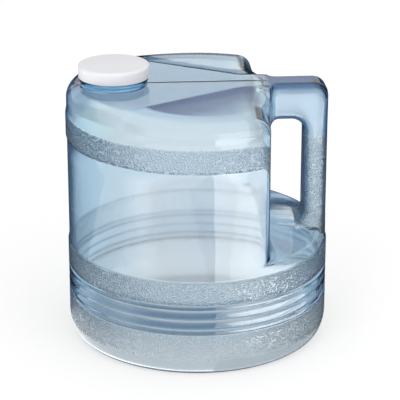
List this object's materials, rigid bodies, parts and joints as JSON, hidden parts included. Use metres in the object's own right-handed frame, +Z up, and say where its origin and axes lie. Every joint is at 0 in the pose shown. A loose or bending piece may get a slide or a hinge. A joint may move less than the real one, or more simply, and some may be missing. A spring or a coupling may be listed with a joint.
{
  "type": "water jug",
  "caption": "Large round see-through water jug with a hollow through handle, grained bands, base ribs and a flat white screw cap on an off-centre neck.",
  "frame": {"origin": "on the standing face, under the middle of the round body", "axes": "+Z up, +X towards the handle, so the neck and its cap lie on -X"},
  "size_m": [0.228, 0.2272, 0.2441],
  "materials": {
    "jug_plastic": "clear pale blue, grained on the bands and the grip",
    "cap_plastic": "satin white",
    "liner_foam": "matt white"
  },
  "bodies": {
    "jug": {"jug_body": "jug_plastic"},
    "liner": {"cap_liner": "liner_foam"},
    "cap": {"screw_cap": "cap_plastic"}
  },
  "joints": [
    {"name": "cap_lift", "type": "slide", "parent": "jug", "child": "liner", "axis": [0, 0, 1], "range_m": [0, 0.0126]},
    {"name": "cap_turn", "type": "hinge", "parent": "liner", "child": "cap", "pos_m": [-0.0715, 0, 0.2386], "axis": [0, 0, 1], "range_deg": [0, 1080]}
  ],
  "couplings": [
    {"joint": "cap_lift", "follows": "cap_turn", "m_per_rad": 0.00066845}
  ]
}
